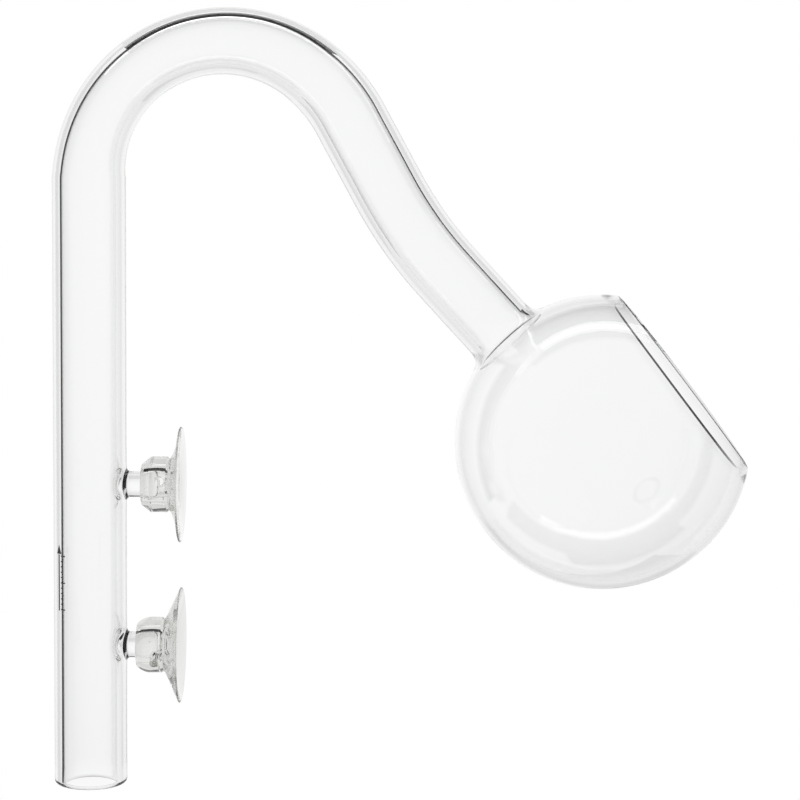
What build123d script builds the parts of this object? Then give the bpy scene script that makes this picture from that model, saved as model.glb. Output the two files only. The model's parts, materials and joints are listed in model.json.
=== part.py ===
"""Glass outflow pipe of an aquarium's canister filter, with its two suction cups.

Millimetres, +Z up. The tank's outer face is the plane X = 0 with the tank on the +X side, and the origin is
the centre of the upper suction cup's rim on that face. Y = 0 is the pipe's plane of symmetry.

Water comes up the stem from a hose pushed over its lower end, goes over the tank's rim through the crown,
comes down the drop tube and leaves through the side mouth of a blown bulb. The glass pieces are welded into
one rigid body. The cups are pushed onto two glass pegs and pull off along +X.
"""

import os
from math import cos, pi, radians, sin, sqrt

from build123d import *

# Glass tube.
TUBE_DIAMETER = 17.0
TUBE_WALL = 2.2
END_ROUND = 0.9  # fire-polished corners of the hose end

# Stem, outside the tank.
HOSE_DROP = 70.9  # from the upper cup's axis down to the hose end
STEM_RISE = 71.1  # from the upper cup's axis up to the start of the crown
CUP_SPACING = 37.9  # between the two cups' axes

# Hand bend over the tank's rim and the run down into the bulb, along the tube's centre line.
CROWN_RADIUS = 31.4
CROWN_TURN = 127.3
SHOULDER_RADIUS = 35.9
SHOULDER_TURN = 23.8
DROP_LENGTH = 18.3
RETURN_RADIUS = 95.0
RETURN_TURN = 14.1
NECK_LENGTH = 18.8
BEND_FLATTENING = 0.115  # share of its width that the tube loses in the bend; half of it is gained across
FLATTENING_SKEW = 0.75  # below 1, the flattest place lies in the first half of the bend
BEND_SECTIONS = 15

# Blown bulb.
BULB_DIAMETER = 68.4
BULB_WALL = 1.5
WELD_FILLET = 2.0  # outside, where the tube runs into the bulb
MOUTH_TILT = 37.5  # of the mouth's axis above the horizontal
LIP_DISTANCE = 21.8  # from the bulb's centre to the middle of the lip
LIP_RADIUS = 1.05  # of the fire-polished bead around the mouth

# Pegs, cut from solid glass rod and welded to the stem.
PEG_DIAMETER = 6.0
PEG_FREE_LENGTH = 2.4  # bare glass between the tube and the lower cup
PEG_GRIP = 5.1  # how far the peg goes into the lower cup
PEG_FLARE = 0.9  # how far the weld spreads around the peg's foot
PEG_TIP_ROUND = 0.8
WELD_SWELL = 0.1  # the softened tube is left faintly barrelled around each peg
WELD_SWELL_LENGTH = 9.0

# Suction cups, soft clear PVC, with both rims on the tank's face.
CUP_DIAMETER = 27.0
HEAD_DIAMETER = 13.0
HEAD_LENGTH = 6.4
HEAD_BACK_DIAMETER = 10.0  # of the flat on the back of the head
HEAD_SHOULDER = 2.3  # length of the rounded shoulder behind that flat
GROOVE_DEPTH = 0.35  # moulded line between head and skirt
SKIRT_ROOT = 1.9  # thickness of the middle of the cup
SKIRT_EDGE = 0.45  # width of the flat ring that touches the tank
UPPER_SKIRT_DEPTH = 2.8  # pressed nearly flat
LOWER_SKIRT_DEPTH = 4.0  # relaxed
SOCKET_CLEARANCE = 0.05  # on the radius, around the peg
SOCKET_END_GAP = 0.9  # between the lower peg's tip and the socket's floor
VENT_DIAMETER = 2.2  # side hole into the socket
VENT_FROM_BACK = 4.5
UPPER_VENT_TURN = 14.0  # of the vent about the cup's axis, up from straight towards -Y
LOWER_VENT_TURN = -32.0

tube_radius = TUBE_DIAMETER / 2
bore_radius = tube_radius - TUBE_WALL
bulb_radius = BULB_DIAMETER / 2
bulb_inner_radius = bulb_radius - BULB_WALL
bulb_mid_radius = bulb_radius - BULB_WALL / 2
peg_radius = PEG_DIAMETER / 2
lower_cup_length = LOWER_SKIRT_DEPTH + HEAD_LENGTH
stem_x = -(lower_cup_length + PEG_FREE_LENGTH + tube_radius)
peg_tip_x = -lower_cup_length + PEG_GRIP
socket_depth = PEG_GRIP + SOCKET_END_GAP
upper_z = 0.0
lower_z = -CUP_SPACING


def slope(angle):
    """Unit vector in the pipe's plane, at an angle in degrees above +X."""
    return Vector(cos(radians(angle)), 0, sin(radians(angle)))


def turning_plane(origin, axis):
    """Sketch plane for a turned profile: local X is the radius and local Y runs along the axis."""
    return Plane(origin=origin, x_dir=Vector(axis.Z, 0, -axis.X), z_dir=(0, -1, 0))


with BuildLine(Plane.XZ) as centre_line:
    stem_line = Line((stem_x, -HOSE_DROP), (stem_x, STEM_RISE))
    crown_arc = JernArc(stem_line @ 1, stem_line % 1, CROWN_RADIUS, -CROWN_TURN)
    shoulder_arc = JernArc(crown_arc @ 1, crown_arc % 1, SHOULDER_RADIUS, -SHOULDER_TURN)
    drop_line = Line(shoulder_arc @ 1, shoulder_arc @ 1 + DROP_LENGTH * (shoulder_arc % 1))
    return_arc = JernArc(drop_line @ 1, drop_line % 1, RETURN_RADIUS, RETURN_TURN)
    neck_line = Line(return_arc @ 1, return_arc @ 1 + NECK_LENGTH * (return_arc % 1))

# The weld's outer fillet touches the tube where the neck line ends.
weld_height = sqrt((bulb_radius + WELD_FILLET) ** 2 - (tube_radius + WELD_FILLET) ** 2)
neck_direction = neck_line % 1
bulb_centre = neck_line @ 1 + weld_height * neck_direction
mouth_direction = slope(MOUTH_TILT)


def make_stem_tube():
    """Straight tube with a fire-polished hose end and a faint swelling at each peg."""
    up = Vector(0, 0, 1)
    half_swell = WELD_SWELL_LENGTH / 2
    crest = tube_radius + WELD_SWELL
    with BuildPart() as stem:
        with BuildSketch(turning_plane((stem_x, 0, 0), up)):
            with BuildLine():
                Line((tube_radius, -HOSE_DROP), (tube_radius, lower_z - half_swell))
                for z in (lower_z, upper_z):
                    ThreePointArc((tube_radius, z - half_swell), (crest, z), (tube_radius, z + half_swell))
                Line((tube_radius, lower_z + half_swell), (tube_radius, upper_z - half_swell))
                Polyline(
                    (tube_radius, upper_z + half_swell),
                    (tube_radius, STEM_RISE),
                    (bore_radius, STEM_RISE),
                    (bore_radius, -HOSE_DROP),
                    (tube_radius, -HOSE_DROP),
                )
            make_face()
        revolve(axis=Axis((stem_x, 0, 0), up))
        fillet(stem.faces().sort_by(Axis.Z)[0].edges(), radius=END_ROUND)
    stem.part.label = "stem_tube"
    return stem.part


def bend_section(share):
    """Plane across the bend and the tube's half width and half breadth, at a share of the whole turn."""
    turn = share * (CROWN_TURN + SHOULDER_TURN)
    if turn <= CROWN_TURN:
        arc, along = crown_arc, turn / CROWN_TURN
    else:
        arc, along = shoulder_arc, (turn - CROWN_TURN) / SHOULDER_TURN
    flattening = BEND_FLATTENING * sin(pi * share**FLATTENING_SKEW)
    plane = Plane(origin=arc @ along, x_dir=(0, 1, 0), z_dir=arc % along)
    return plane, tube_radius * (1 - flattening), tube_radius * (1 + flattening / 2)


def make_crown_tube():
    """The bend over the rim: a tube that is flattened where it was bent."""
    with BuildPart() as crown:
        for inset, mode in ((0, Mode.ADD), (TUBE_WALL, Mode.SUBTRACT)):
            for step in range(BEND_SECTIONS):
                plane, half_width, half_breadth = bend_section(step / (BEND_SECTIONS - 1))
                with BuildSketch(plane):
                    Ellipse(half_breadth - inset, half_width - inset)
            loft(mode=mode)
    crown.part.label = "crown_tube"
    return crown.part


def make_drop_tube():
    """The run down into the tank, bent gently back, up to the weld on the bulb."""
    with BuildPart() as drop:
        with BuildLine():
            add([drop_line, return_arc, neck_line])
        with BuildSketch(Plane(origin=drop_line @ 0, z_dir=drop_line % 0)):
            Circle(tube_radius)
            Circle(bore_radius, mode=Mode.SUBTRACT)
        sweep()
    drop.part.label = "drop_tube"
    return drop.part


def make_bulb():
    """Blown sphere with a beaded side mouth and a filleted collar for the tube."""
    neck_axis = -neck_direction
    lip_ring_radius = sqrt(bulb_mid_radius**2 - LIP_DISTANCE**2)
    touch = bulb_radius / (bulb_radius + WELD_FILLET)
    foot = (touch * (tube_radius + WELD_FILLET), touch * weld_height)
    inner_foot = tuple(bulb_mid_radius / bulb_radius * size for size in foot)
    with BuildPart() as bulb:
        with BuildSketch(turning_plane(bulb_centre, mouth_direction)):
            Circle(bulb_radius)
            Circle(bulb_inner_radius, mode=Mode.SUBTRACT)
            Rectangle(BULB_DIAMETER, BULB_DIAMETER, align=(Align.MAX, Align.CENTER), mode=Mode.SUBTRACT)
            with Locations((0, LIP_DISTANCE)):
                Rectangle(BULB_DIAMETER, BULB_DIAMETER, align=(Align.MIN, Align.MIN), mode=Mode.SUBTRACT)
            with Locations((lip_ring_radius, LIP_DISTANCE)):
                Circle(LIP_RADIUS)
        revolve(axis=Axis(bulb_centre, mouth_direction))

        with BuildSketch(turning_plane(bulb_centre, neck_axis)):
            with BuildLine():
                Polyline(
                    inner_foot, (0, bulb_mid_radius), (0, weld_height), (tube_radius, weld_height)
                )
                RadiusArc((tube_radius, weld_height), foot, WELD_FILLET)
                Line(foot, inner_foot)
            make_face()
        revolve(axis=Axis(bulb_centre, neck_axis))

        with BuildSketch(Plane(origin=bulb_centre, z_dir=neck_axis)):
            Circle(bore_radius)
        extrude(amount=weld_height, mode=Mode.SUBTRACT)
    bulb.part.label = "outflow_bulb"
    return bulb.part


def make_peg(z, label, stem):
    """Rod with a rounded tip and a weld flare, seated on the stem."""
    inward = Vector(1, 0, 0)
    root = bore_radius + TUBE_WALL / 2
    tip = peg_tip_x - stem_x
    with BuildPart() as peg:
        with BuildSketch(turning_plane((stem_x, 0, z), inward)):
            with BuildLine():
                Polyline((0, root), (0, tip), (peg_radius, tip), (peg_radius, tube_radius + PEG_FLARE))
                RadiusArc(
                    (peg_radius, tube_radius + PEG_FLARE), (peg_radius + PEG_FLARE, tube_radius), PEG_FLARE
                )
                Polyline((peg_radius + PEG_FLARE, tube_radius), (peg_radius + PEG_FLARE, root), (0, root))
            make_face()
        revolve(axis=Axis((stem_x, 0, z), inward))
        fillet(peg.faces().sort_by(Axis.X)[-1].edges(), radius=PEG_TIP_ROUND)
        add(stem, mode=Mode.SUBTRACT)
    peg.part.label = label
    return peg.part


def make_cup(z, skirt_depth, vent_turn, label):
    """Head with a blind socket for the peg, and a skirt whose rim lies on the tank's face."""
    inward = Vector(1, 0, 0)
    cup_radius = CUP_DIAMETER / 2
    head_radius = HEAD_DIAMETER / 2
    neck = -skirt_depth
    back = neck - HEAD_LENGTH
    hollow = neck + SKIRT_ROOT
    with BuildPart() as cup:
        with BuildSketch(turning_plane((0, 0, z), inward)):
            with BuildLine():
                Polyline((0, hollow), (0, back), (HEAD_BACK_DIAMETER / 2, back))
                Spline(
                    (HEAD_BACK_DIAMETER / 2, back),
                    (head_radius, back + HEAD_SHOULDER),
                    tangents=((1, 0.5), (0, 1)),
                )
                Polyline(
                    (head_radius, back + HEAD_SHOULDER),
                    (head_radius, neck - GROOVE_DEPTH),
                    (head_radius - GROOVE_DEPTH, neck),
                )
                Spline(
                    (head_radius - GROOVE_DEPTH, neck),
                    (cup_radius - SKIRT_EDGE / 2, -SKIRT_EDGE),
                    tangents=((1.4, 1), (1, 0.3)),
                )
                Polyline(
                    (cup_radius - SKIRT_EDGE / 2, -SKIRT_EDGE),
                    (cup_radius, 0),
                    (cup_radius - SKIRT_EDGE, 0),
                )
                Spline(
                    (cup_radius - SKIRT_EDGE, 0),
                    (0, hollow),
                    tangents=((-1, -0.35), (-1, 0)),
                )
            make_face()
        revolve(axis=Axis((0, 0, z), inward))

        with BuildSketch(Plane(origin=(back, 0, z), z_dir=inward)):
            Circle(peg_radius + SOCKET_CLEARANCE)
        extrude(amount=socket_depth, mode=Mode.SUBTRACT)

        vent_direction = Vector(0, -cos(radians(vent_turn)), sin(radians(vent_turn)))
        with BuildSketch(Plane(origin=(back + VENT_FROM_BACK, 0, z), z_dir=vent_direction)):
            Circle(VENT_DIAMETER / 2)
        extrude(amount=HEAD_DIAMETER, mode=Mode.SUBTRACT)
    cup.part.label = label
    return cup.part


stem_tube = make_stem_tube()
pieces = [
    stem_tube,
    make_crown_tube(),
    make_drop_tube(),
    make_bulb(),
    make_peg(upper_z, "peg_upper", stem_tube),
    make_peg(lower_z, "peg_lower", stem_tube),
    make_cup(upper_z, UPPER_SKIRT_DEPTH, UPPER_VENT_TURN, "suction_cup_upper"),
    make_cup(lower_z, LOWER_SKIRT_DEPTH, LOWER_VENT_TURN, "suction_cup_lower"),
]

os.makedirs("parts", exist_ok=True)
for piece in pieces:
    export_step(piece, f"parts/{piece.label}.step")
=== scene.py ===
"""Looks of the glass outflow pipe: one seamless glass body, two soft clear suction cups and a print."""

import json
import math

import bmesh
import bpy
import numpy as np
from mathutils import Matrix, Vector


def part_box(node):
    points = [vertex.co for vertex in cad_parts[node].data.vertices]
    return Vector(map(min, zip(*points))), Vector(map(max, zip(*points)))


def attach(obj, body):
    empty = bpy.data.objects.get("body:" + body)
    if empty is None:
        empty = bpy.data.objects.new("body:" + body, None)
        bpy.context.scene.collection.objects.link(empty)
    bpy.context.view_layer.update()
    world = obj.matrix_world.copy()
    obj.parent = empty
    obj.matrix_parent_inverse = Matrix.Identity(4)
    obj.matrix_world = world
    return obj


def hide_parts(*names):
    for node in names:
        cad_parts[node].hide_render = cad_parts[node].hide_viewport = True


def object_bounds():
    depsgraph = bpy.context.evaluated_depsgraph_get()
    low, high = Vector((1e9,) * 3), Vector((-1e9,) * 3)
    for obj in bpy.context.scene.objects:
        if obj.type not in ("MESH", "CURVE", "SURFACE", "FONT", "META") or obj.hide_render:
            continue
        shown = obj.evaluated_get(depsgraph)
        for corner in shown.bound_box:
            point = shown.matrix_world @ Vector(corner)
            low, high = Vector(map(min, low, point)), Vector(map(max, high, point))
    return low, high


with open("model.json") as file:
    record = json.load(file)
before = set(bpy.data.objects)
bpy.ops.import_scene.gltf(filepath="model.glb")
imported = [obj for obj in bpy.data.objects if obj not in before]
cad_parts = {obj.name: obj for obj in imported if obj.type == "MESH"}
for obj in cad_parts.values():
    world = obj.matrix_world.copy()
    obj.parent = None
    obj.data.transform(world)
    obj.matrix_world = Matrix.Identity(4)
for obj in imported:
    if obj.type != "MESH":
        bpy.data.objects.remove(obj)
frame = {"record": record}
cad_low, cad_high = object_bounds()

# Sizes in metres. The pipe's plane is Y = 0, and a place in it is the complex number x + 1j * z.
TUBE_RADIUS = 0.0085
TUBE_WALL = 0.0022
CROWN_RADIUS = 0.0314
CROWN_TURN = math.radians(127.3)
SHOULDER_RADIUS = 0.0359
SHOULDER_TURN = math.radians(23.8)
DROP_LENGTH = 0.0183
RETURN_RADIUS = 0.095
RETURN_TURN = math.radians(14.1)
NECK_LENGTH = 0.0188
BEND_FLATTENING = 0.115
FLATTENING_SKEW = 0.75
BULB_RADIUS = 0.0342
BULB_WALL = 0.0015
WELD_FILLET = 0.002  # as in the CAD, which sets the bulb's place
OUTER_FILLET = 0.0035
BORE_FILLET = 0.006
MOUTH_TILT = math.radians(37.5)
LIP_EDGE = 0.02285  # distance of the mouth's rim from the bulb's centre
LIP_THICKNESS = 0.0016
LIP_ROUND = 0.0002  # of the rim's two edges, on either side of its flat ground face
LIP_BLEND = 0.004  # length over which the wall thickens into the rim
PEG_RADIUS = 0.003
PEG_FLARE = 0.0009
PEG_TIP_ROUND = 0.0008
WELD_SWELL = 0.0001
WELD_SPREAD = 0.0022  # radius of the softened patch around a peg
WELD_DIMPLES = (0.0008, 0.0013)  # how far each peg, upper then lower, has pushed the tube's inside in

CUP_RADIUS = 0.0135
HEAD_RADIUS = 0.0065
HEAD_FACE_RADIUS = 0.005
HEAD_LENGTH = 0.0064
SKIRT_ROOT = 0.0019
SKIRT_EDGE = 0.00045
SOCKET_RADIUS = 0.00305
SOCKET_DEPTH = 0.006
VENT_RADIUS = 0.0011
VENT_FROM_BACK = 0.0045

BUBBLE_TRIES = 9  # bubbles drawn for each cup, less those that meet its vent
BUBBLE_ROOM = 0.0005  # least distance from the vent's wall
CUP_SHARP_ANGLE = math.radians(50)

MARK_TURN = math.radians(50)  # of the print's arrow from -Y towards -X
MARK_LOW, MARK_HIGH = -0.0290, -0.0136
MARK_HALF_LINE = 0.00022
MARK_TICKS = 11
MARK_TICK_STEP = 0.00125

# Numbers of cells in the meshes.
COLUMNS = 160  # around every ring of the glass
CROWN_STEPS = 140
SHOULDER_STEPS = 28
BULB_STEPS = 96
FILLET_STEPS = 14
LIP_STEPS = 8
PEG_WINDOW = 14  # half width of the opening for a peg in the stem's skin, in columns
CUP_COLUMNS = 144
DRILL_COLUMNS = 48

# Materials.
GLASS_IOR = 1.47
GLASS_ABSORPTION = (0.81, 0.825, 0.815, 1), 24  # colour and density
PVC_IOR = 1.53
PVC_ABSORPTION = (0.79, 0.795, 0.775, 1), 60
PVC_HAZE = 0.04  # greatest roughness
# Painted shade in the base colour over the bulb, from RIM_START, a cosine from the mouth's axis, to the rim's
# ground face: greyer near the rim, near black on the face.
RIM_START = 0.60
RIM_PAINTED_SHADES = (
    (0.1, (0.988, 0.991, 0.990, 1)),
    (0.45, (0.945, 0.952, 0.947, 1)),
    (0.95, (0.935, 0.945, 0.937, 1)),
    (0.995, (0.02, 0.025, 0.022, 1)),
)
PVC_TINTS = (0.3, (0.95, 0.95, 0.94, 1)), (0.7, (0.99, 0.99, 0.985, 1))
INK_TINTS = (0, (0.008, 0.008, 0.009, 1)), (1, (0.05, 0.05, 0.052, 1))

# Studio.
FLOOR_DROP = 0.25  # of the floor below the hose end
FLOOR_RADIUS = 0.9
TENT_CENTRE_LIFT = 0.02  # of the point that the floor's brightness is reckoned from, above the hose end
TENT_PEAK = math.radians(-4)  # the brightest direction, turned from +Y towards +X
# Degrees from the peak, and brightness there.
TENT_GREYS = (
    (0, 1.0),
    (10, 0.98),
    (20, 0.88),
    (30, 0.79),
    (45, 0.85),
    (60, 0.92),
    (75, 0.86),
    (95, 0.8),
    (180, 0.76),
)
CARD_DISTANCE = 0.6
CARD_BANDS, CARD_STEPS = 6, 48
# Name, angles from straight behind the pipe, turns about that line from +X towards +Z, brightness.
CARDS = (
    ("dark_card_left", 59, 78, 125, 228, 0.0),
    ("dark_card_top", 43, 88, 58, 125, 0.0),
    ("dark_card_right", 57, 78, 28, 58, 0.0),
    ("grey_card_low", 24, 30, 240, 322, 0.73),
    ("grey_card_lower", 30, 44, 240, 322, 0.68),
)
# Strip light over the bulb: lowest and highest corner of its flat underside.
STRIP_LIGHT = ((-0.14, 0.02, 0.19), (0.243, 0.047, 0.19))
STRIP_BRIGHTNESS = 2.2

CAMERA_TARGET = (0.05075, 0, 0.02022)
CAMERA_DISTANCE = 0.5574
CAMERA_ELEVATION = math.radians(5.5)
CAMERA_ROLL = math.radians(0.5)

bore_radius = TUBE_RADIUS - TUBE_WALL
bulb_mid_radius = BULB_RADIUS - BULB_WALL / 2
mounts = {mount["name"]: mount for mount in frame["record"]["mounts"]}
stem_low, stem_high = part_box("stem_tube")
stem_x = mounts["hose_end"]["pos_m"][0]
peg_heights = [mounts[name]["pos_m"][2] for name in ("tank_face_upper", "tank_face_lower")]


# ---------------------------------------------------------------- mesh building


class Skin:
    """A closed surface made of rings of points."""

    def __init__(self):
        self.points = []
        self.faces = []

    def ring(self, points):
        start = len(self.points)
        self.points.extend(map(tuple, points))
        return list(range(start, len(self.points)))

    def join(self, ring_a, ring_b, gaps=()):
        """Quads between two rings, except in the columns listed in gaps."""
        count = len(ring_a)
        for k in range(count):
            if k not in gaps:
                n = (k + 1) % count
                self.faces.append((ring_a[k], ring_a[n], ring_b[n], ring_b[k]))

    def close(self, ring):
        """Fan of triangles to the ring's middle."""
        middle = len(self.points)
        self.points.append(tuple(np.mean([self.points[i] for i in ring], axis=0)))
        for k, index in enumerate(ring):
            self.faces.append((index, ring[(k + 1) % len(ring)], middle))

    def window_edge(self, rows, columns):
        """Indices once round the edge of a rectangle of the grid, given as rings and places in them."""
        first, last = rows[0], rows[-1]
        edge = [first[c] for c in columns]
        edge += [row[columns[-1]] for row in rows[1:-1]]
        edge += [last[c] for c in reversed(columns)]
        edge += [row[columns[0]] for row in reversed(rows[1:-1])]
        return edge

    def build(self, name, material):
        mesh = bpy.data.meshes.new(name)
        mesh.from_pydata(self.points, [], self.faces)
        work = bmesh.new()
        work.from_mesh(mesh)
        bmesh.ops.delete(work, geom=[v for v in work.verts if not v.link_faces], context="VERTS")
        bmesh.ops.recalc_face_normals(work, faces=work.faces)
        work.to_mesh(mesh)
        work.free()
        mesh.shade_smooth()
        if material:
            mesh.materials.append(material)
        piece = bpy.data.objects.new(name, mesh)
        bpy.context.scene.collection.objects.link(piece)
        return piece


def placed(plane_points, y):
    """Array of 3-D points from complex places in the pipe's plane and their Y."""
    plane_points = np.asarray(plane_points)
    return np.stack([plane_points.real, np.broadcast_to(y, plane_points.shape), plane_points.imag], axis=-1)


def tube_ring(centre, heading, half_width, half_breadth, azimuths):
    """Ring round the centre line. Azimuth 0 is on the inside of the crown's bend."""
    inside = -1j * heading
    return placed(centre + inside * half_width * np.cos(azimuths), half_breadth * np.sin(azimuths))


# ---------------------------------------------------------------- centre line


def straight(start, heading, length, steps):
    """Places and headings along a straight run, its end included."""
    return [(start + heading * length * i / steps, heading) for i in range(steps + 1)]


def arc(start, heading, radius, turn, steps):
    """Places and headings along an arc. A positive turn bends left."""
    pivot = start + heading * 1j * math.copysign(radius, turn)
    spin = [complex(math.cos(turn * i / steps), math.sin(turn * i / steps)) for i in range(steps + 1)]
    return [(pivot + (start - pivot) * s, heading * s) for s in spin]


stem_top = complex(stem_x, stem_high[2])
crown_path = arc(stem_top, 1j, CROWN_RADIUS, -CROWN_TURN, CROWN_STEPS)
shoulder_path = arc(*crown_path[-1], SHOULDER_RADIUS, -SHOULDER_TURN, SHOULDER_STEPS)
drop_path = straight(*shoulder_path[-1], DROP_LENGTH, 6)
return_path = arc(*drop_path[-1], RETURN_RADIUS, RETURN_TURN, 12)

bend_path = crown_path + shoulder_path[1:]
bend_shares = [CROWN_TURN * i / CROWN_STEPS for i in range(CROWN_STEPS + 1)]
bend_shares += [CROWN_TURN + SHOULDER_TURN * i / SHOULDER_STEPS for i in range(1, SHOULDER_STEPS + 1)]
bend_shares = [turn / (CROWN_TURN + SHOULDER_TURN) for turn in bend_shares]
neck_start, neck_heading = return_path[-1]
neck_end = neck_start + neck_heading * NECK_LENGTH
weld_height = math.sqrt((BULB_RADIUS + WELD_FILLET) ** 2 - (TUBE_RADIUS + WELD_FILLET) ** 2)
bulb_centre = neck_end + neck_heading * weld_height
mouth_heading = complex(math.cos(MOUTH_TILT), math.sin(MOUTH_TILT))
lip_angle = math.acos((LIP_EDGE - LIP_ROUND) / bulb_mid_radius)


def tail_path(height):
    """Drop, return and neck, down to a height above the bulb's centre."""
    end = bulb_centre - neck_heading * height
    neck_path = straight(neck_start, neck_heading, abs(end - neck_start), 12)
    return drop_path[1:] + return_path[1:] + neck_path[1:]


# ---------------------------------------------------------------- glass


def two_hole_sphere(radius, neck_half, mouth_half, steps):
    """Rings over the bulb between its two holes, all of them circles.

    A stereographic view of the sphere turns the two holes' edges into circles with one centre. The rings
    between them are the circles of that view, and the columns are its spokes, so every cell stays square.
    """
    neck_angle = np.angle(-neck_heading)
    mouth_angle = np.angle(mouth_heading)
    middle = (neck_angle + mouth_angle) / 2
    ends = [neck_angle - neck_half, neck_angle + neck_half]
    ends += [mouth_angle - mouth_half, mouth_angle + mouth_half]
    a, b, c, d = [math.tan((end - middle) / 2) for end in ends]
    poly_n = (1, -(a + b), a * b)
    poly_m = (1, -(c + d), c * d)
    shared = [
        poly_n[0] * poly_m[1] - poly_m[0] * poly_n[1],
        2 * (poly_n[0] * poly_m[2] - poly_m[0] * poly_n[2]),
        poly_n[1] * poly_m[2] - poly_m[1] * poly_n[2],
    ]
    poles = [middle + 2 * math.atan(root) for root in np.roots(shared).real]
    pole_n = min(poles, key=lambda p: abs(p - neck_angle))
    pole_m = max(poles, key=lambda p: abs(p - neck_angle))

    away = complex(math.cos(pole_m), math.sin(pole_m))
    across = away * 1j

    def seen(angle):
        v = complex(math.cos(angle), math.sin(angle))
        return (v * across.conjugate()).real / (1 - (v * away.conjugate()).real)

    eye = seen(pole_n)
    inner_size = abs(seen(ends[0]) - eye)
    outer_size = abs(seen(ends[2]) - eye)
    turns = 2 * np.pi * np.arange(COLUMNS) / COLUMNS
    inside = -1j * neck_heading

    def ring_of(size, spoke):
        w = eye + size * spoke
        scale = np.abs(w) ** 2 + 1
        plane = (2 * w.real * across + (np.abs(w) ** 2 - 1) * away) / scale
        return placed(bulb_centre + radius * plane, radius * 2 * w.imag / scale)

    spokes = np.exp(1j * turns)
    first = ring_of(inner_size, spokes)[0]
    if ((complex(first[0], first[2]) - bulb_centre) * inside.conjugate()).real < 0:
        spokes = -np.exp(-1j * turns)
    growth = outer_size / inner_size
    return [ring_of(inner_size * growth ** (i / steps), spokes) for i in range(steps + 1)]


def azimuths_about(ring, side):
    """Angles of a ring's points about an axis through the bulb's centre, measured from side towards +Y."""
    plane = ring[:, 0] + 1j * ring[:, 2] - bulb_centre
    return np.unwrap(np.arctan2(ring[:, 1], (plane * side.conjugate()).real))


def neck_rings(profile, azimuths):
    """Rings about the neck from (radius, height above the bulb's centre) pairs."""
    return [tube_ring(bulb_centre - neck_heading * h, neck_heading, r, r, azimuths) for r, h in profile]


def lip_rings(side_sign, azimuths, steps):
    """Rings from the even wall to the middle of the rim's flat face, outside for +1 and inside for -1."""
    side = -1j * mouth_heading
    half_rim = LIP_THICKNESS / 2
    profile = []
    for i in range(steps):
        place = LIP_BLEND * (1 - i / steps)
        swell = 0.5 + 0.5 * math.cos(math.pi * place / LIP_BLEND)
        profile.append((place, BULB_WALL / 2 + (half_rim - BULB_WALL / 2) * swell))
    for i in range(steps + 1):
        turn = i * math.pi / 2 / steps
        profile.append((-LIP_ROUND * math.sin(turn), half_rim - LIP_ROUND * (1 - math.cos(turn))))
    profile += [(-LIP_ROUND, (half_rim - LIP_ROUND) * share) for share in (0.8, 0.4, 0)]
    rings = []
    for place, half in profile:
        size = bulb_mid_radius + side_sign * half
        angle = lip_angle + place / bulb_mid_radius
        centre = bulb_centre + mouth_heading * size * math.cos(angle)
        radius = size * math.sin(angle)
        rings.append(placed(centre + side * radius * np.cos(azimuths), radius * np.sin(azimuths)))
    return rings


def near_peg(z, azimuths, radius):
    """Squared distance along the stem's surface to the nearest peg's centre, over the softened patch's."""
    wrapped = (azimuths + np.pi) % (2 * np.pi) - np.pi
    return [((z - height) ** 2 + (radius * wrapped) ** 2) / WELD_SPREAD**2 for height in peg_heights]


def stem_radius(z, azimuths):
    swell = sum(np.exp(-distance / 6) for distance in near_peg(z, azimuths, TUBE_RADIUS))
    return TUBE_RADIUS + WELD_SWELL * swell


def stem_bore(z, azimuths):
    push = zip(WELD_DIMPLES, near_peg(z, azimuths, bore_radius))
    return bore_radius - sum(depth * np.exp(-distance) for depth, distance in push)


def stem_heights():
    """Heights of the stem's rings, close together at the pegs, and the first ring of each peg's window."""
    half = TUBE_RADIUS * math.sin(2 * math.pi * PEG_WINDOW / COLUMNS)
    upper, lower = peg_heights
    end = stem_low[2] + TUBE_WALL / 2
    spans = [(end, lower - 2 * half, 6), (lower - 2 * half, lower - half, 8)]
    spans += [(lower - half, lower + half, 2 * PEG_WINDOW), (lower + half, lower + 2 * half, 8)]
    spans += [(lower + 2 * half, upper - 2 * half, 8), (upper - 2 * half, upper - half, 8)]
    spans += [(upper - half, upper + half, 2 * PEG_WINDOW), (upper + half, upper + 2 * half, 8)]
    spans += [(upper + 2 * half, stem_high[2], 16)]
    heights, windows = [end], []
    for low, high, steps in spans:
        if steps == 2 * PEG_WINDOW:
            windows.append(len(heights) - 1)
        heights += [low + (high - low) * i / steps for i in range(1, steps + 1)]
    return heights, windows


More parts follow.
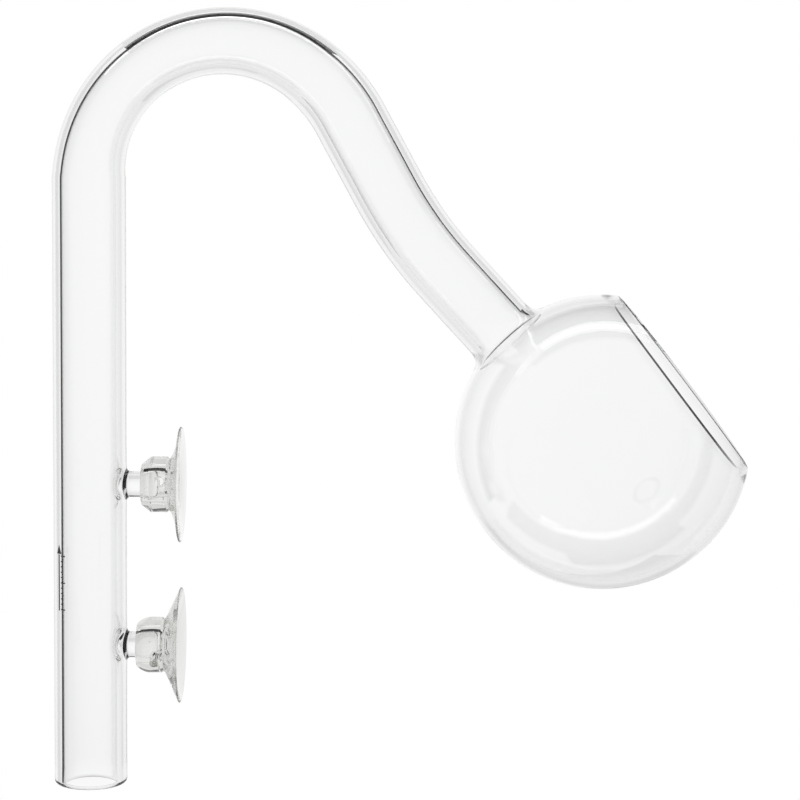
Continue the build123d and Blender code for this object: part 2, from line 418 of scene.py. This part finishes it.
def weld_peg(skin, rows, height, tip_x):
    """Grows a peg out of its window in the stem's skin."""
    columns = [k % COLUMNS for k in range(-PEG_WINDOW, PEG_WINDOW + 1)]
    edge = skin.window_edge(rows, columns)
    places = np.array([(skin.points[i][1], skin.points[i][2] - height) for i in edge])
    around = np.arctan2(places[:, 1], places[:, 0])
    unit = np.stack([np.cos(around), np.sin(around)], axis=-1)

    def on_stem(flat):
        azimuths = np.arcsin(flat[:, 0] / TUBE_RADIUS)
        heights = flat[:, 1] + height
        lift = np.array([stem_radius(z, np.array([azimuth]))[0] for azimuth, z in zip(azimuths, heights)])
        return stem_x + np.sqrt(lift**2 - flat[:, 0] ** 2)

    loops = []
    foot = PEG_RADIUS + PEG_FLARE
    for i in range(1, 7):
        flat = places + (foot * unit - places) * i / 6
        loops.append((flat, on_stem(flat)))
    for i in range(1, 9):
        turn = i * math.pi / 16
        flat = (PEG_RADIUS + PEG_FLARE * (1 - math.sin(turn))) * unit
        loops.append((flat, on_stem(flat) + PEG_FLARE * (1 - math.cos(turn))))
    shaft_start = loops[-1][1]
    shaft_end = tip_x - PEG_TIP_ROUND
    for i in range(1, 5):
        loops.append((PEG_RADIUS * unit, shaft_start + (shaft_end - shaft_start) * i / 4))
    for i in range(1, 7):
        turn = i * math.pi / 12
        flat = (PEG_RADIUS - PEG_TIP_ROUND * (1 - math.cos(turn))) * unit
        loops.append((flat, np.full(len(edge), shaft_end + PEG_TIP_ROUND * math.sin(turn))))
    for share in (0.66, 0.33):
        loops.append(((PEG_RADIUS - PEG_TIP_ROUND) * share * unit, np.full(len(edge), tip_x)))
    previous = edge
    for flat, x in loops:
        ring = skin.ring(np.stack([x, flat[:, 0], flat[:, 1] + height], axis=-1))
        skin.join(previous, ring)
        previous = ring
    skin.close(previous)


def make_glass(material):
    """Tube, bulb, lip and pegs as one skin, outside and inside, as flame-welded glass is."""
    even = 2 * np.pi * np.arange(COLUMNS) / COLUMNS
    inside = -1j * neck_heading

    outer_round = BULB_RADIUS + OUTER_FILLET
    foot_angle = math.asin((TUBE_RADIUS + OUTER_FILLET) / outer_round)
    outer_height = math.sqrt(outer_round**2 - (TUBE_RADIUS + OUTER_FILLET) ** 2)
    blend_angle = lip_angle + LIP_BLEND / bulb_mid_radius
    outer_bulb = two_hole_sphere(BULB_RADIUS, foot_angle, blend_angle, BULB_STEPS)
    outer_neck = azimuths_about(outer_bulb[0], inside)
    outer_lip = azimuths_about(outer_bulb[-1], -1j * mouth_heading)

    inner_radius = BULB_RADIUS - BULB_WALL
    bore_round = inner_radius + BORE_FILLET
    bore_angle = math.asin((bore_radius + BORE_FILLET) / bore_round)
    inner_bulb = two_hole_sphere(inner_radius, bore_angle, blend_angle, BULB_STEPS)
    inner_neck = azimuths_about(inner_bulb[0], inside)
    inner_lip = azimuths_about(inner_bulb[-1], -1j * mouth_heading)

    def fillet(tube_radius, height, size, end_angle):
        """Profile of a rounding about the neck, from the tube to the bulb."""
        last = 1.5 * math.pi - end_angle
        turns = [math.pi + (last - math.pi) * i / FILLET_STEPS for i in range(FILLET_STEPS + 1)]
        return [(tube_radius + size + size * math.cos(t), height + size * math.sin(t)) for t in turns]

    bore_height = math.sqrt(bore_round**2 - (bore_radius + BORE_FILLET) ** 2)
    outer_fillet = fillet(TUBE_RADIUS, outer_height, OUTER_FILLET, foot_angle)
    bore_profile = fillet(bore_radius, bore_height, BORE_FILLET, bore_angle)

    def upright_ring(z, radius):
        return tube_ring(complex(stem_x, z), 1j, radius, radius, even)

    def tail(radius, path, neck_azimuths):
        """Rings of the run down to the bulb, their columns easing from even to the bulb's."""
        rings = []
        for i, (centre, heading) in enumerate(path):
            ease = (i + 1) / len(path)
            rings.append(tube_ring(centre, heading, radius, radius, even + (neck_azimuths - even) * ease))
        return rings

    def bend(inset):
        rings = []
        for (centre, heading), share in zip(bend_path[1:], bend_shares[1:]):
            flat = BEND_FLATTENING * math.sin(math.pi * share**FLATTENING_SKEW)
            width, breadth = TUBE_RADIUS * (1 - flat), TUBE_RADIUS * (1 + flat / 2)
            rings.append(tube_ring(centre, heading, width - inset, breadth - inset, even))
        return rings

    heights, windows = stem_heights()
    outer = [upright_ring(z, stem_radius(z, even)) for z in heights]
    outer += bend(0) + tail(TUBE_RADIUS, tail_path(outer_height), outer_neck)
    outer += neck_rings(outer_fillet[1:-1], outer_neck) + outer_bulb
    outer += lip_rings(1, outer_lip, LIP_STEPS)[1:]

    inner = [upright_ring(z, stem_bore(z, even)) for z in heights]
    inner += bend(TUBE_WALL) + tail(bore_radius, tail_path(bore_height), inner_neck)
    inner += neck_rings(bore_profile[1:-1], inner_neck) + inner_bulb
    inner += lip_rings(-1, inner_lip, LIP_STEPS)[1:-1]

    end_turns = [math.pi * i / 12 for i in range(1, 12)]
    middle, half_wall = TUBE_RADIUS - TUBE_WALL / 2, TUBE_WALL / 2
    end_rings = []
    for turn in end_turns:
        z = heights[0] - half_wall * math.sin(turn)
        end_rings.append(upright_ring(z, middle - half_wall * math.cos(turn)))

    skin = Skin()
    outer_rings = [skin.ring(ring) for ring in outer]
    inner_rings = [skin.ring(ring) for ring in reversed(inner)]
    round_rings = [skin.ring(ring) for ring in end_rings]
    window_rows = {row for start in windows for row in range(start, start + 2 * PEG_WINDOW)}
    gaps = {k % COLUMNS for k in range(-PEG_WINDOW, PEG_WINDOW)}
    loop = outer_rings + inner_rings + round_rings
    for i, ring in enumerate(loop):
        skin.join(ring, loop[(i + 1) % len(loop)], gaps if i in window_rows else ())
    for start, height, node in zip(windows, reversed(peg_heights), ("peg_lower", "peg_upper")):
        rows = outer_rings[start : start + 2 * PEG_WINDOW + 1]
        weld_peg(skin, rows, height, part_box(node)[1][0])
    return skin.build("glass_body", material)


# ---------------------------------------------------------------- cups and print


def smooth_run(start, start_lean, end, end_lean, steps):
    """Points along a cubic from start to end, leaving and arriving with the given leans."""
    run = []
    for i in range(1, steps + 1):
        t = i / steps
        weights = (2 * t**3 - 3 * t**2 + 1, t**3 - 2 * t**2 + t, 3 * t**2 - 2 * t**3, t**3 - t**2)
        columns = zip(start, start_lean, end, end_lean)
        run.append(tuple(sum(weight * value for weight, value in zip(weights, column)) for column in columns))
    return run


def line_run(start, end, steps):
    """Evenly spaced points along a line, without its start."""
    shares = [i / steps for i in range(1, steps + 1)]
    return [tuple(a + (b - a) * share for a, b in zip(start, end)) for share in shares]


def cup_profile(back, depth, domed):
    """(x, radius) pairs from the socket's end, out over the head and skirt, to the middle of the hollow."""
    neck, mm = -depth, 0.001
    socket_end = back + SOCKET_DEPTH
    profile = [(socket_end, 0.8 * mm), (socket_end, 1.9 * mm)]

    def smooth_to(start_lean, end, end_lean, steps):
        profile.extend(smooth_run(profile[-1], start_lean, end, end_lean, steps))

    def line_to(end, steps):
        profile.extend(line_run(profile[-1], end, steps))

    smooth_to((0, 1.4 * mm), (socket_end - 0.6 * mm, SOCKET_RADIUS), (-0.9 * mm, 0), 6)
    line_to((back + 0.35 * mm, SOCKET_RADIUS), 16)
    smooth_to((-0.5 * mm, 0), (back, SOCKET_RADIUS + 0.35 * mm), (0, 0.5 * mm), 6)
    face = HEAD_FACE_RADIUS - 0.3 * mm
    line_to((back, face), 5)
    if domed:
        smooth_to((0.2 * mm, 2.6 * mm), (back + 3.2 * mm, HEAD_RADIUS), (3.6 * mm, 0), 20)
    else:
        chamfer = (back + 0.35 * mm, HEAD_FACE_RADIUS + 0.1 * mm), (back + 2.0 * mm, HEAD_RADIUS - 0.12 * mm)
        lean = tuple(0.3 * (high - low) for low, high in zip(*chamfer))
        smooth_to((0, 0.5 * mm), chamfer[0], lean, 6)
        line_to(chamfer[1], 8)
        smooth_to(lean, (back + 2.6 * mm, HEAD_RADIUS), (0.6 * mm, 0), 6)
    line_to((neck - 0.55 * mm, HEAD_RADIUS), 10)
    smooth_to((0.4 * mm, 0), (neck, HEAD_RADIUS - 0.4 * mm), (0.3 * mm, -0.25 * mm), 8)
    rim = (-SKIRT_EDGE, CUP_RADIUS - 0.25 * mm)
    if domed:
        root = (neck + 0.7 * mm, HEAD_RADIUS + 0.7 * mm)
        smooth_to((0.5 * mm, 0.4 * mm), root, (0.6 * mm, 1.0 * mm), 8)
        line_to(rim, 26)
    else:
        smooth_to((2.4 * mm, 0.5 * mm), rim, (0.7 * mm, 7.0 * mm), 34)
    profile += smooth_run(rim, (0.15 * mm, 0.3 * mm), (-0.2 * mm, CUP_RADIUS), (0.25 * mm, 0), 4)
    smooth_to((0.2 * mm, 0), (0, CUP_RADIUS - 0.25 * mm), (0, -0.3 * mm), 4)
    line_to((0, CUP_RADIUS - SKIRT_EDGE), 2)
    hollow = neck + SKIRT_ROOT
    smooth_to((0.5 * hollow, -3.0 * mm), (hollow, 0.9 * mm), (0, -8.0 * mm), 36)
    return profile


def make_cup(name, node, height, domed, vent_turn, seed, material):
    """Moulded cup: turned body with a faint parting line, a drilled vent and a few trapped bubbles."""
    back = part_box(node)[0][0]
    depth = -back - HEAD_LENGTH
    rng = np.random.default_rng(seed)
    turns = 2 * np.pi * np.arange(CUP_COLUMNS) / CUP_COLUMNS
    seam = np.exp(-((np.sin(turns - 0.4) / 0.05) ** 2))
    phases = rng.uniform(0, 2 * np.pi, 2)
    skin = Skin()
    rings = []
    for x, radius in cup_profile(back, depth, domed):
        on_head = radius > SOCKET_RADIUS + 0.0006 and x < -depth
        ripple = 0.00004 * (np.sin(3 * turns + phases[0]) + np.sin(5 * turns + phases[1] + 900 * x))
        size = radius + (0.00005 * seam + ripple if on_head else 0)
        across, up = size * np.cos(turns), height + size * np.sin(turns)
        rings.append(skin.ring(np.stack([np.full(CUP_COLUMNS, x), across, up], axis=-1)))
    for ring_a, ring_b in zip(rings, rings[1:]):
        skin.join(ring_a, ring_b)
    skin.close(rings[0])
    skin.close(rings[-1])
    cup = skin.build(name, material)

    turn = math.radians(vent_turn)
    outward = Vector((0, -math.cos(turn), math.sin(turn)))
    vent_start = Vector((back + VENT_FROM_BACK, 0, height))
    cutter = drill(vent_start, outward)
    cut = cup.modifiers.new("vent", "BOOLEAN")
    cut.operation, cut.solver, cut.object = "DIFFERENCE", "EXACT", cutter
    drilled = bpy.data.meshes.new_from_object(cup.evaluated_get(bpy.context.evaluated_depsgraph_get()))
    cup.modifiers.clear()
    cup.data = drilled
    bpy.data.objects.remove(cutter)

    work = bmesh.new()
    work.from_mesh(cup.data)
    for _ in range(BUBBLE_TRIES):
        angle, reach = rng.uniform(0, 2 * np.pi), rng.uniform(0.0040, 0.0056)
        x = rng.uniform(back + 0.0012, -depth - 0.0012)
        size = rng.uniform(0.00010, 0.00026)
        place = Vector((x, reach * math.cos(angle), height + reach * math.sin(angle)))
        from_vent = place - vent_start
        reach_out = from_vent.dot(outward)
        if reach_out > 0 and (from_vent - outward * reach_out).length < VENT_RADIUS + BUBBLE_ROOM:
            continue
        stretch = Matrix.Diagonal((1.0, rng.uniform(0.6, 1), rng.uniform(0.6, 1), 1))
        where = Matrix.Translation(place) @ stretch
        bubble = bmesh.ops.create_icosphere(work, subdivisions=2, radius=size, matrix=where)
        shell = list({face for vert in bubble["verts"] for face in vert.link_faces})
        bmesh.ops.reverse_faces(work, faces=shell)
    work.to_mesh(cup.data)
    work.free()
    cup.data.shade_smooth()
    cup.data.set_sharp_from_angle(angle=CUP_SHARP_ANGLE)
    return cup


def drill(start, direction):
    """Round bar from inside the socket out through the head, to cut the vent with."""
    along = Vector((1, 0, 0))
    across = direction.cross(along)
    turns = [2 * math.pi * (k + 0.5) / DRILL_COLUMNS for k in range(DRILL_COLUMNS)]
    offsets = [VENT_RADIUS * (across * math.cos(t) + along * math.sin(t)) for t in turns]
    bar = Skin()
    rings = []
    for reach in (0, HEAD_RADIUS * 2):
        centre = start + direction * reach
        rings.append(bar.ring([centre + offset for offset in offsets]))
    bar.join(*rings)
    bar.close(rings[0])
    bar.close(rings[1])
    return bar.build("drill", None)


def make_mark(material):
    """Generic printed flow arrow with a depth scale beside it, lying on the stem's front left."""
    skin = Skin()
    low, high = TUBE_RADIUS - 0.00001, TUBE_RADIUS + 0.00003

    def patch(corners, steps):
        """Thin slab over a four-sided patch given by (arc length, height) corners, bottom edge first."""
        a, b, c, d = [complex(*corner) for corner in corners]
        grids = []
        for radius in (high, low):
            grid = []
            for i in range(steps + 1):
                left, right = a + (d - a) * i / steps, b + (c - b) * i / steps
                row = [left + (right - left) * j / 3 for j in range(4)]
                turns = [MARK_TURN + place.real / TUBE_RADIUS for place in row]
                xs = [stem_x - radius * math.sin(t) for t in turns]
                ys = [-radius * math.cos(t) for t in turns]
                grid.append(skin.ring(zip(xs, ys, [place.imag for place in row])))
            grids.append(grid)
        top, bottom = grids
        for i in range(steps):
            for j in range(3):
                skin.faces.append((top[i][j], top[i][j + 1], top[i + 1][j + 1], top[i + 1][j]))
                skin.faces.append((bottom[i][j], bottom[i + 1][j], bottom[i + 1][j + 1], bottom[i][j + 1]))
        edges = [skin.window_edge(grid, (0, 1, 2, 3)) for grid in grids]
        skin.join(*edges)

    def slab(half_low, low_z, half_high, high_z, steps, middle=0.0):
        """Patch of two level edges, given by their half lengths and heights."""
        bottom = [(middle - half_low, low_z), (middle + half_low, low_z)]
        patch(bottom + [(middle + half_high, high_z), (middle - half_high, high_z)], steps)

    slab(MARK_HALF_LINE, MARK_LOW, MARK_HALF_LINE, MARK_HIGH - 0.0022, 24)
    slab(0.0009, MARK_HIGH - 0.0021, 0.00002, MARK_HIGH, 6)
    for i in range(MARK_TICKS):
        z = MARK_LOW + 0.0002 + i * MARK_TICK_STEP
        half = 0.0007 if i % 5 == 0 else 0.0004
        slab(half, z, half, z + 0.0003, 1, -0.0007 - half)
    return skin.build("flow_mark", material)


# ---------------------------------------------------------------- materials


def node_material(name):
    material = bpy.data.materials.new(name)
    material.use_nodes = True
    nodes, links = material.node_tree.nodes, material.node_tree.links
    return material, nodes, links, nodes["Principled BSDF"]


def add_waves(nodes, links, shader, scale, detail, strength, depth):
    """Bump from a smooth noise in the object's own space."""
    place = nodes.new("ShaderNodeTexCoord")
    noise = nodes.new("ShaderNodeTexNoise")
    noise.inputs["Scale"].default_value = scale
    noise.inputs["Detail"].default_value = detail
    bump = nodes.new("ShaderNodeBump")
    bump.inputs["Strength"].default_value = strength
    bump.inputs["Distance"].default_value = depth
    links.new(place.outputs["Object"], noise.inputs["Vector"])
    links.new(noise.outputs["Fac"], bump.inputs["Height"])
    links.new(bump.outputs["Normal"], shader.inputs["Normal"])
    return place, noise


def add_absorption(nodes, links, colour, density):
    """Darkening with the depth of material that light crosses."""
    absorb = nodes.new("ShaderNodeVolumeAbsorption")
    absorb.inputs["Color"].default_value = colour
    absorb.inputs["Density"].default_value = density
    links.new(absorb.outputs["Volume"], nodes["Material Output"].inputs["Volume"])


def vector_math(nodes, operation, second=None):
    node = nodes.new("ShaderNodeVectorMath")
    node.operation = operation
    if second is not None:
        node.inputs[1].default_value = second
    return node


def colour_ramp(nodes, tints):
    """Colour ramp from (position, colour) pairs, lowest first."""
    node = nodes.new("ShaderNodeValToRGB")
    stops = node.color_ramp.elements
    stops[0].position, stops[0].color = tints[0]
    stops[1].position, stops[1].color = tints[-1]
    for position, colour in tints[1:-1]:
        stops.new(position).color = colour
    return node


def glass_material():
    """Clear glass with painted shade: its base colour turns faintly grey-green towards the mouth's rim and
    near black on the rim's ground face.
    """
    material, nodes, links, shader = node_material("borosilicate_glass")
    shader.inputs["Transmission Weight"].default_value = 1
    shader.inputs["IOR"].default_value = GLASS_IOR
    shader.inputs["Roughness"].default_value = 0
    place, _ = add_waves(nodes, links, shader, 60, 1, 0.25, 0.0001)
    add_absorption(nodes, links, *GLASS_ABSORPTION)
    from_bulb = vector_math(nodes, "SUBTRACT", (bulb_centre.real, 0, bulb_centre.imag))
    unit = vector_math(nodes, "NORMALIZE")
    along = vector_math(nodes, "DOT_PRODUCT", (mouth_heading.real, 0, mouth_heading.imag))
    spread = nodes.new("ShaderNodeMapRange")
    spread.inputs["From Min"].default_value = RIM_START
    spread.inputs["From Max"].default_value = math.cos(lip_angle - LIP_ROUND / bulb_mid_radius)
    # Painted shade: greyer towards the mouth's rim, near black on its ground face.
    rim_painted_shade = colour_ramp(nodes, RIM_PAINTED_SHADES)
    links.new(place.outputs["Object"], from_bulb.inputs[0])
    links.new(from_bulb.outputs["Vector"], unit.inputs[0])
    links.new(unit.outputs["Vector"], along.inputs[0])
    links.new(along.outputs["Value"], spread.inputs["Value"])
    links.new(spread.outputs["Result"], rim_painted_shade.inputs["Fac"])
    links.new(rim_painted_shade.outputs["Color"], shader.inputs["Base Color"])
    return material


def pvc_material():
    """Clear soft plastic, patchy in haze and tone."""
    material, nodes, links, shader = node_material("clear_soft_pvc")
    shader.inputs["Transmission Weight"].default_value = 1
    shader.inputs["IOR"].default_value = PVC_IOR
    _, noise = add_waves(nodes, links, shader, 150, 1.5, 0.12, 0.0003)
    add_absorption(nodes, links, *PVC_ABSORPTION)
    haze = nodes.new("ShaderNodeMapRange")
    haze.inputs["To Min"].default_value = 0
    haze.inputs["To Max"].default_value = PVC_HAZE
    tone = colour_ramp(nodes, PVC_TINTS)
    links.new(noise.outputs["Fac"], haze.inputs["Value"])
    links.new(noise.outputs["Fac"], tone.inputs["Fac"])
    links.new(haze.outputs["Result"], shader.inputs["Roughness"])
    links.new(tone.outputs["Color"], shader.inputs["Base Color"])
    return material


def ink_material():
    """Matt dark print with a fine grain."""
    material, nodes, links, shader = node_material("dark_print")
    _, noise = add_waves(nodes, links, shader, 3000, 2, 0.3, 0.00002)
    tone = colour_ramp(nodes, INK_TINTS)
    links.new(noise.outputs["Fac"], tone.inputs["Fac"])
    links.new(tone.outputs["Color"], shader.inputs["Base Color"])
    shader.inputs["Roughness"].default_value = 0.45
    return material


# ---------------------------------------------------------------- stage


def tent_brightness(nodes, links, direction, background):
    """Brightness of the light tent in a direction from the pipe, but plain white where the camera sees it."""
    along = vector_math(nodes, "DOT_PRODUCT", (math.sin(TENT_PEAK), math.cos(TENT_PEAK), 0))
    spread = nodes.new("ShaderNodeMapRange")
    spread.inputs["From Min"].default_value = -1
    places = [0.5 + 0.5 * math.cos(math.radians(angle)) for angle, _ in TENT_GREYS]
    tints = [(place, (grey, grey, grey, 1)) for place, (_, grey) in zip(places, TENT_GREYS)]
    ramp = colour_ramp(nodes, tints[::-1])
    ramp.color_ramp.interpolation = "EASE"
    seen = nodes.new("ShaderNodeLightPath")
    mix = nodes.new("ShaderNodeMix")
    mix.data_type = "RGBA"
    mix.inputs["B"].default_value = (1, 1, 1, 1)
    links.new(direction, along.inputs[0])
    links.new(along.outputs["Value"], spread.inputs["Value"])
    links.new(spread.outputs["Result"], ramp.inputs["Fac"])
    links.new(ramp.outputs["Color"], mix.inputs["A"])
    links.new(seen.outputs["Is Camera Ray"], mix.inputs["Factor"])
    links.new(mix.outputs["Result"], background)


def glow_material(name, strength):
    """Material that only sends out light."""
    material, nodes, links, shader = node_material(name)
    shader.inputs["Base Color"].default_value = (0, 0, 0, 1)
    shader.inputs["Roughness"].default_value = 1
    shader.inputs["Specular IOR Level"].default_value = 0
    shader.inputs["Emission Color"].default_value = (1, 1, 1, 1)
    shader.inputs["Emission Strength"].default_value = strength
    return material, nodes, links, shader


def make_floor():
    """Pale round table top that glows instead of taking light: painted light, as bright from each side as the
    tent around it.
    """
    height = stem_low[2] - FLOOR_DROP
    bpy.ops.mesh.primitive_circle_add(
        vertices=128, radius=FLOOR_RADIUS, fill_type="NGON", location=(0, 0, height)
    )
    floor = bpy.context.object
    floor.name = "floor"
    material, nodes, links, shader = glow_material("pale_floor", 1)
    # Painted light: emission only, greyer by direction from the pipe, plain white to the camera.
    place = nodes.new("ShaderNodeNewGeometry")
    tent_centre = ((cad_low[0] + cad_high[0]) / 2, 0, stem_low[2] + TENT_CENTRE_LIFT)
    away = vector_math(nodes, "SUBTRACT", tent_centre)
    unit = vector_math(nodes, "NORMALIZE")
    links.new(place.outputs["Position"], away.inputs[0])
    links.new(away.outputs["Vector"], unit.inputs[0])
    tent_brightness(nodes, links, unit.outputs["Vector"], shader.inputs["Emission Color"])
    floor.data.materials.append(material)


def add_card(name, points, faces, brightness):
    """Studio card that lights and shades the glass but stays out of the camera's own view."""
    mesh = bpy.data.meshes.new(name)
    mesh.from_pydata(points, [], faces)
    card = bpy.data.objects.new(name, mesh)
    bpy.context.scene.collection.objects.link(card)
    mesh.materials.append(glow_material(name, brightness)[0])
    card.visible_camera = False
    card.visible_diffuse = False
    card.visible_shadow = False


def make_card(name, low_angle, high_angle, first_turn, last_turn, brightness):
    """Curved card on a big sphere about the origin, between two angles from +Y, over a range of turns."""
    points, faces = [], []
    for i in range(CARD_STEPS + 1):
        turn = math.radians(first_turn + (last_turn - first_turn) * i / CARD_STEPS)
        for j in range(CARD_BANDS + 1):
            angle = math.radians(low_angle + (high_angle - low_angle) * j / CARD_BANDS)
            out = CARD_DISTANCE * math.sin(angle)
            points.append((out * math.cos(turn), CARD_DISTANCE * math.cos(angle), out * math.sin(turn)))
    for i in range(CARD_STEPS):
        for j in range(CARD_BANDS):
            k = i * (CARD_BANDS + 1) + j
            faces.append((k, k + 1, k + CARD_BANDS + 2, k + CARD_BANDS + 1))
    add_card(name, points, faces, brightness)


def make_strip_light():
    (x0, y0, z), (x1, y1, _) = STRIP_LIGHT
    corners = [(x0, y0, z), (x1, y0, z), (x1, y1, z), (x0, y1, z)]
    add_card("strip_light", corners, [(0, 1, 2, 3)], STRIP_BRIGHTNESS)


def make_world():
    """White behind the pipe, dimmer to the sides and in front, as a light tent is."""
    world = bpy.data.worlds.new("studio")
    world.use_nodes = True
    nodes, links = world.node_tree.nodes, world.node_tree.links
    direction = nodes.new("ShaderNodeTexCoord")
    tent_brightness(nodes, links, direction.outputs["Generated"], nodes["Background"].inputs["Color"])
    bpy.context.scene.world = world


def make_camera():
    """Straight on, slightly above the middle, turned half a degree."""
    back = Vector((0, -math.cos(CAMERA_ELEVATION), math.sin(CAMERA_ELEVATION)))
    data = bpy.data.cameras.new("camera")
    data.lens = 108
    data.sensor_width = 36
    data.clip_start, data.clip_end = 0.05, 60
    camera = bpy.data.objects.new("camera", data)
    camera.matrix_world = (
        Matrix.Translation(Vector(CAMERA_TARGET) + back * CAMERA_DISTANCE)
        @ (-back).to_track_quat("-Z", "Y").to_matrix().to_4x4()
        @ Matrix.Rotation(CAMERA_ROLL, 4, "Z")
    )
    bpy.context.scene.collection.objects.link(camera)
    bpy.context.scene.camera = camera


make_camera()
make_world()
make_floor()
for card in CARDS:
    make_card(*card)
make_strip_light()

glass = make_glass(glass_material())
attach(glass, "glass")
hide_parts("stem_tube", "crown_tube", "drop_tube", "outflow_bulb", "peg_upper", "peg_lower")

pvc = pvc_material()
cups = (
    ("cup_upper", "suction_cup_upper", "upper_cup", peg_heights[0], False, 14, 5),
    ("cup_lower", "suction_cup_lower", "lower_cup", peg_heights[1], True, -32, 8),
)
for name, node, body, height, domed, vent_turn, seed in cups:
    cup = make_cup(name, node, height, domed, vent_turn, seed, pvc)
    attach(cup, body)
    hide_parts(node)

mark = make_mark(ink_material())
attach(mark, "glass")

scene = bpy.context.scene
scene.view_settings.view_transform = "Standard"
scene.cycles.max_bounces = 32
scene.cycles.transmission_bounces = 32
scene.cycles.glossy_bounces = 16
